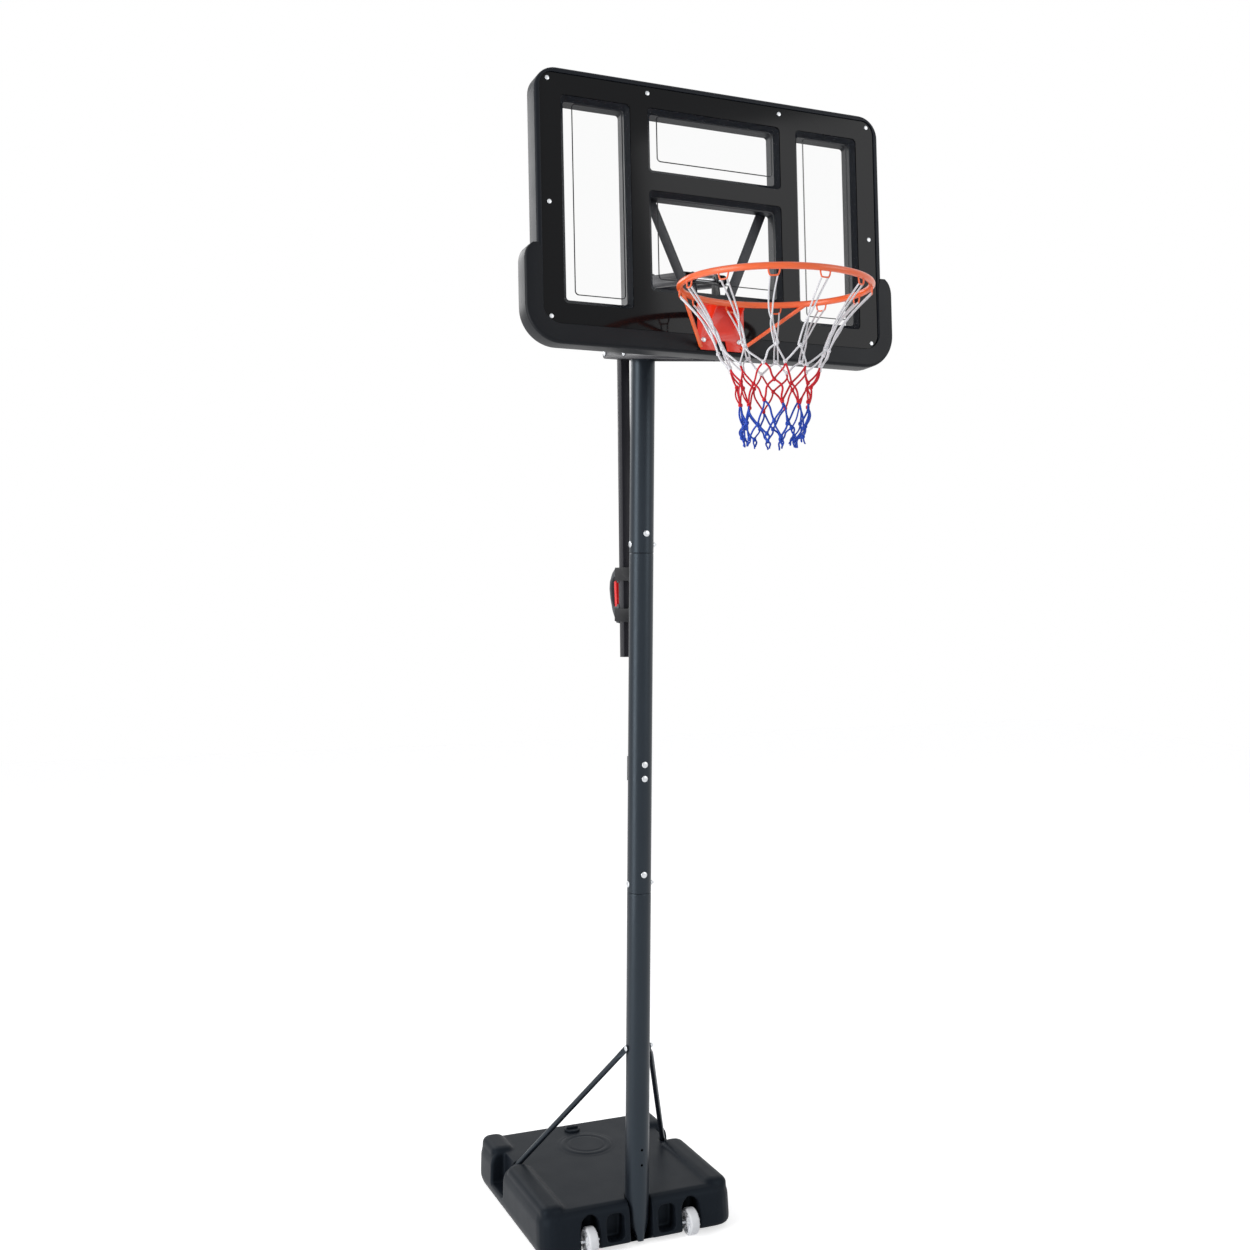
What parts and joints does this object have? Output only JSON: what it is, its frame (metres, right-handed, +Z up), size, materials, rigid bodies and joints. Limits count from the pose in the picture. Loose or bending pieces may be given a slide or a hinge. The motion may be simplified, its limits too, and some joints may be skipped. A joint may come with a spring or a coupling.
{
  "type": "portable basketball stand",
  "caption": "Free-standing basketball goal: filled base on wheels, sectioned pole with braces, lift arms worked by a strut and grip, rectangular board, orange ring and net.",
  "frame": {"origin": "centre of the base's flat underside, on the floor", "axes": "+Z up, -Y towards the court (the side the board faces), +X to the right of someone who looks along +Y"},
  "size_m": [1.0826, 1.6468, 3.2878],
  "materials": {
    "pole_paint": "satin dark paint",
    "arm_paint": "satin grey paint",
    "base_plastic": "blow-moulded, slightly grainy",
    "frame_plastic": "moulded, satin",
    "pad_plastic": "moulded, satin",
    "sheet_plastic": "clear sheet with a black printed mask, glossy",
    "wheel_plastic": "moulded, satin",
    "zinc": "bright zinc plate",
    "rim_paint": "gloss orange paint",
    "rim_plate_paint": "gloss red paint",
    "grip_plastic": "moulded, satin",
    "trigger_plastic": "moulded, satin",
    "net_cord": "braided cord in dyed bands"
  },
  "bodies": {
    "stand": {"base_tank": "base_plastic", "brace_foot_bolt_left": "zinc", "brace_foot_bolt_right": "zinc", "brace_left": "pole_paint", "brace_right": "pole_paint", "brace_top_bolt": "zinc", "handle_bracket": "pole_paint", "handle_bracket_bolt_lower": "zinc", "handle_bracket_bolt_upper": "zinc", "handle_grip": "grip_plastic", "lower_joint_front_bolt": "zinc", "lower_joint_side_bolt": "zinc", "lower_pivot_bolt": "zinc", "pole_cap": "pad_plastic", "pole_lower": "pole_paint", "pole_middle": "pole_paint", "pole_upper": "pole_paint", "stowage_bracket": "pole_paint", "stowage_bracket_bolt_lower": "zinc", "stowage_bracket_bolt_upper": "zinc", "trigger_pin": "zinc", "upper_joint_front_bolt": "zinc", "upper_joint_side_bolt": "zinc", "upper_pivot_bolt": "zinc", "wheel_axle_left": "zinc", "wheel_axle_right": "zinc"},
    "lower_arms": {"lower_arm_left": "arm_paint", "lower_arm_right": "arm_paint", "board_lower_pivot_bolt": "zinc", "strut_pivot_bolt": "zinc"},
    "upper_arms": {"upper_arm_left": "arm_paint", "upper_arm_right": "arm_paint", "board_upper_pivot_bolt": "zinc"},
    "board": {"board_frame": "frame_plastic", "board_sheet": "sheet_plastic", "board_pad": "pad_plastic", "board_bracket": "arm_paint", "board_stay_left": "arm_paint", "board_stay_right": "arm_paint", "board_screw_high_left": "zinc", "board_screw_high_right": "zinc", "board_screw_inner_left": "zinc", "board_screw_inner_right": "zinc", "board_screw_low_left": "zinc", "board_screw_low_right": "zinc", "board_screw_middle_left": "zinc", "board_screw_middle_right": "zinc", "rim_ring": "rim_paint", "rim_bracket": "rim_plate_paint", "rim_bolt_1": "zinc", "rim_bolt_2": "zinc", "rim_bolt_3": "zinc", "rim_bolt_4": "zinc", "net": "net_cord"},
    "strut": {"lift_strut": "arm_paint"},
    "trigger": {"trigger": "trigger_plastic"},
    "latch": {"latch_pin": "zinc"},
    "wheel_left": {"wheel_left": "wheel_plastic"},
    "wheel_right": {"wheel_right": "wheel_plastic"},
    "cap": {"filler_cap": "base_plastic"}
  },
  "joints": [
    {"name": "lift", "type": "hinge", "parent": "stand", "child": "lower_arms", "pos_m": [0, -0.285, 2.663], "axis": [-1, 0, 0], "range_deg": [-40, 52]},
    {"name": "upper_arms_swing", "type": "hinge", "parent": "stand", "child": "upper_arms", "pos_m": [0, -0.285, 2.863], "axis": [-1, 0, 0], "range_deg": [-40, 52]},
    {"name": "board_level", "type": "hinge", "parent": "lower_arms", "child": "board", "pos_m": [0, -0.68507, 2.60677], "axis": [-1, 0, 0], "range_deg": [-52, 40]},
    {"name": "strut_swing", "type": "hinge", "parent": "lower_arms", "child": "strut", "pos_m": [0, -0.13646, 2.68388], "axis": [-1, 0, 0], "range_deg": [-52, 40]},
    {"name": "trigger_squeeze", "type": "hinge", "parent": "stand", "child": "trigger", "pos_m": [0, -0.121, 1.903], "axis": [-1, 0, 0], "range_deg": [0, 10], "stiffness_Nm_per_rad": 0.6, "springref_deg": -14.32},
    {"name": "latch_slide", "type": "slide", "parent": "stand", "child": "latch", "axis": [0, 1, 0], "range_m": [0, 0.0062]},
    {"name": "wheel_left_roll", "type": "hinge", "parent": "stand", "child": "wheel_left", "pos_m": [-0.165, -0.316, 0.0415], "axis": [1, 0, 0], "continuous": true},
    {"name": "wheel_right_roll", "type": "hinge", "parent": "stand", "child": "wheel_right", "pos_m": [0.165, -0.316, 0.0415], "axis": [1, 0, 0], "continuous": true},
    {"name": "filler_cap_turn", "type": "hinge", "parent": "stand", "child": "cap", "pos_m": [0, 0.258, 0.135], "axis": [0, 0, 1], "range_deg": [0, 360]}
  ],
  "couplings": [
    {"joint": "upper_arms_swing", "follows": "lift", "ratio": 1},
    {"joint": "board_level", "follows": "lift", "ratio": -1},
    {"joint": "strut_swing", "follows": "lift", "ratio": -1},
    {"joint": "latch_slide", "follows": "trigger_squeeze", "m_per_rad": 0.0344}
  ]
}
